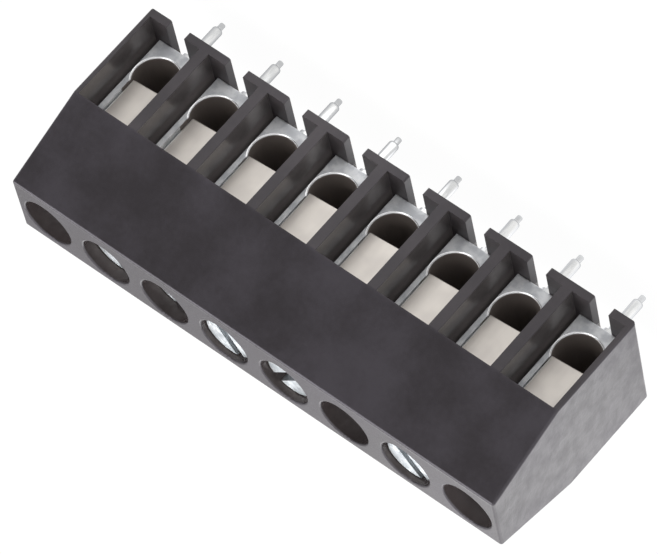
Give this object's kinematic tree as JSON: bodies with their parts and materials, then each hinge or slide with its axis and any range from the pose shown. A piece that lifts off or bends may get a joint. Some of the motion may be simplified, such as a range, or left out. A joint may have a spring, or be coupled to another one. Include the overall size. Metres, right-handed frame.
{
  "type": "pcb screw terminal block",
  "caption": "Dark moulded row of screw clamps that joins wires to a circuit board: open wire bays in front, screws in top wells, solder pins below.",
  "frame": {"origin": "on the board face, in the middle of the row and of the housing's depth", "axes": "+X along the row, towards the high-numbered poles; -Y is the side the wires enter from; +Z points away from the board"},
  "size_m": [0.04, 0.0094, 0.0178],
  "materials": {
    "housing_plastic": "satin dark grey moulded plastic",
    "clamp_plating": "matt nickel plating",
    "guard_steel": "satin stainless strip",
    "screw_zinc": "bright zinc plating",
    "pin_tin": "bright tin plating"
  },
  "bodies": {
    "fixed": {"housing": "housing_plastic", "clamp_body_1": "clamp_plating", "clamp_body_2": "clamp_plating", "clamp_body_3": "clamp_plating", "clamp_body_4": "clamp_plating", "clamp_body_5": "clamp_plating", "clamp_body_6": "clamp_plating", "clamp_body_7": "clamp_plating", "clamp_body_8": "clamp_plating", "solder_pin_1": "pin_tin", "solder_pin_2": "pin_tin", "solder_pin_3": "pin_tin", "solder_pin_4": "pin_tin", "solder_pin_5": "pin_tin", "solder_pin_6": "pin_tin", "solder_pin_7": "pin_tin", "solder_pin_8": "pin_tin"},
    "guard_1": {"wire_guard_1": "guard_steel"},
    "screw_1": {"clamp_screw_1": "screw_zinc"},
    "guard_2": {"wire_guard_2": "guard_steel"},
    "screw_2": {"clamp_screw_2": "screw_zinc"},
    "guard_3": {"wire_guard_3": "guard_steel"},
    "screw_3": {"clamp_screw_3": "screw_zinc"},
    "guard_4": {"wire_guard_4": "guard_steel"},
    "screw_4": {"clamp_screw_4": "screw_zinc"},
    "guard_5": {"wire_guard_5": "guard_steel"},
    "screw_5": {"clamp_screw_5": "screw_zinc"},
    "guard_6": {"wire_guard_6": "guard_steel"},
    "screw_6": {"clamp_screw_6": "screw_zinc"},
    "guard_7": {"wire_guard_7": "guard_steel"},
    "screw_7": {"clamp_screw_7": "screw_zinc"},
    "guard_8": {"wire_guard_8": "guard_steel"},
    "screw_8": {"clamp_screw_8": "screw_zinc"}
  },
  "joints": [
    {"name": "guard_slide_1", "type": "slide", "parent": "fixed", "child": "guard_1", "axis": [0, 0, -1], "range_m": [-0.00036, 0.00135]},
    {"name": "screw_turn_1", "type": "hinge", "parent": "guard_1", "child": "screw_1", "pos_m": [-0.0175, 0.00043, 0.0143], "axis": [0, 0, -1], "range_deg": [-288.5, 1080.5]},
    {"name": "guard_slide_2", "type": "slide", "parent": "fixed", "child": "guard_2", "axis": [0, 0, -1], "range_m": [-0.00036, 0.00135]},
    {"name": "screw_turn_2", "type": "hinge", "parent": "guard_2", "child": "screw_2", "pos_m": [-0.0125, 0.00043, 0.0143], "axis": [0, 0, -1], "range_deg": [-288.5, 1080.5]},
    {"name": "guard_slide_3", "type": "slide", "parent": "fixed", "child": "guard_3", "axis": [0, 0, -1], "range_m": [-0.00036, 0.00135]},
    {"name": "screw_turn_3", "type": "hinge", "parent": "guard_3", "child": "screw_3", "pos_m": [-0.0075, 0.00043, 0.0143], "axis": [0, 0, -1], "range_deg": [-288.5, 1080.5]},
    {"name": "guard_slide_4", "type": "slide", "parent": "fixed", "child": "guard_4", "axis": [0, 0, -1], "range_m": [-0.00036, 0.00135]},
    {"name": "screw_turn_4", "type": "hinge", "parent": "guard_4", "child": "screw_4", "pos_m": [-0.0025, 0.00043, 0.0143], "axis": [0, 0, -1], "range_deg": [-288.5, 1080.5]},
    {"name": "guard_slide_5", "type": "slide", "parent": "fixed", "child": "guard_5", "axis": [0, 0, -1], "range_m": [-0.00036, 0.00135]},
    {"name": "screw_turn_5", "type": "hinge", "parent": "guard_5", "child": "screw_5", "pos_m": [0.0025, 0.00043, 0.0143], "axis": [0, 0, -1], "range_deg": [-288.5, 1080.5]},
    {"name": "guard_slide_6", "type": "slide", "parent": "fixed", "child": "guard_6", "axis": [0, 0, -1], "range_m": [-0.00036, 0.00135]},
    {"name": "screw_turn_6", "type": "hinge", "parent": "guard_6", "child": "screw_6", "pos_m": [0.0075, 0.00043, 0.0143], "axis": [0, 0, -1], "range_deg": [-288.5, 1080.5]},
    {"name": "guard_slide_7", "type": "slide", "parent": "fixed", "child": "guard_7", "axis": [0, 0, -1], "range_m": [-0.00036, 0.00135]},
    {"name": "screw_turn_7", "type": "hinge", "parent": "guard_7", "child": "screw_7", "pos_m": [0.0125, 0.00043, 0.0143], "axis": [0, 0, -1], "range_deg": [-288.5, 1080.5]},
    {"name": "guard_slide_8", "type": "slide", "parent": "fixed", "child": "guard_8", "axis": [0, 0, -1], "range_m": [-0.00036, 0.00135]},
    {"name": "screw_turn_8", "type": "hinge", "parent": "guard_8", "child": "screw_8", "pos_m": [0.0175, 0.00043, 0.0143], "axis": [0, 0, -1], "range_deg": [-288.5, 1080.5]}
  ],
  "couplings": [
    {"joint": "screw_turn_1", "follows": "guard_slide_1", "rad_per_m": 13963},
    {"joint": "screw_turn_2", "follows": "guard_slide_2", "rad_per_m": 13963},
    {"joint": "screw_turn_3", "follows": "guard_slide_3", "rad_per_m": 13963},
    {"joint": "screw_turn_4", "follows": "guard_slide_4", "rad_per_m": 13963},
    {"joint": "screw_turn_5", "follows": "guard_slide_5", "rad_per_m": 13963},
    {"joint": "screw_turn_6", "follows": "guard_slide_6", "rad_per_m": 13963},
    {"joint": "screw_turn_7", "follows": "guard_slide_7", "rad_per_m": 13963},
    {"joint": "screw_turn_8", "follows": "guard_slide_8", "rad_per_m": 13963}
  ]
}
